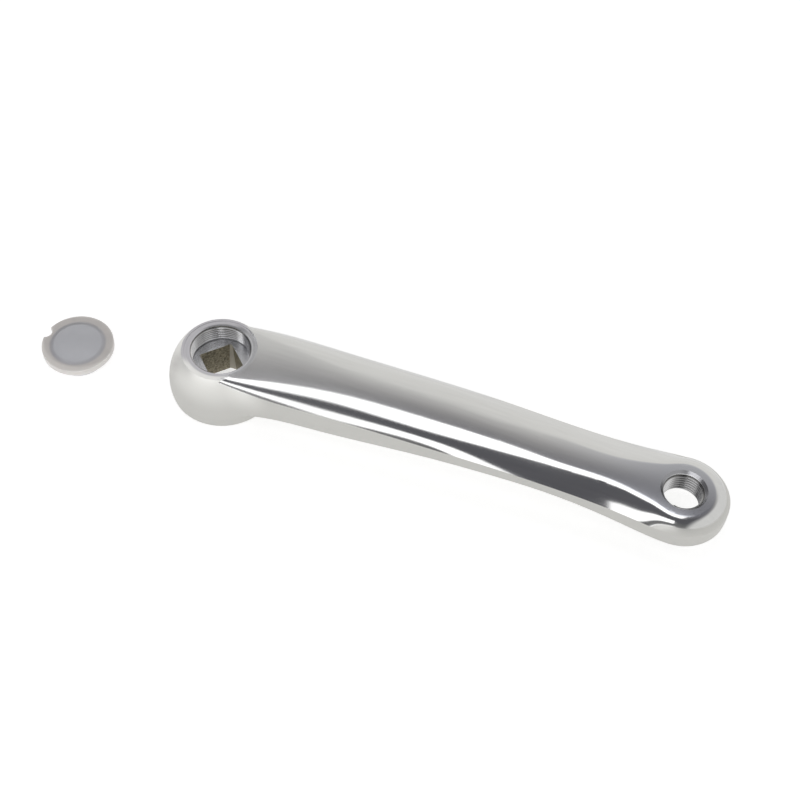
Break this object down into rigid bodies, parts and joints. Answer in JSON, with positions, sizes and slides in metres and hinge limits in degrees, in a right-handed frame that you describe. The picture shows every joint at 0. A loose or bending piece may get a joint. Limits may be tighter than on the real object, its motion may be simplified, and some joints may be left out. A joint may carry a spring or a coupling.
{
  "type": "bicycle crank arm",
  "caption": "Forged left crank arm with a square taper socket, an extractor thread, a crowned face and a threaded pedal eye, with its dust cap lying beside it.",
  "frame": {"origin": "spindle axis at the inner face of the boss", "axes": "+X along the arm to the pedal axis, +Z along the spindle axis, away from the bicycle"},
  "size_m": [0.2557, 0.0392, 0.0239],
  "materials": {
    "polished_alloy": "polished, with satin side walls",
    "cap_plastic": "smooth, slightly translucent"
  },
  "bodies": {
    "root": {"crank_arm": "polished_alloy", "dust_cap": "cap_plastic"}
  },
  "joints": []
}
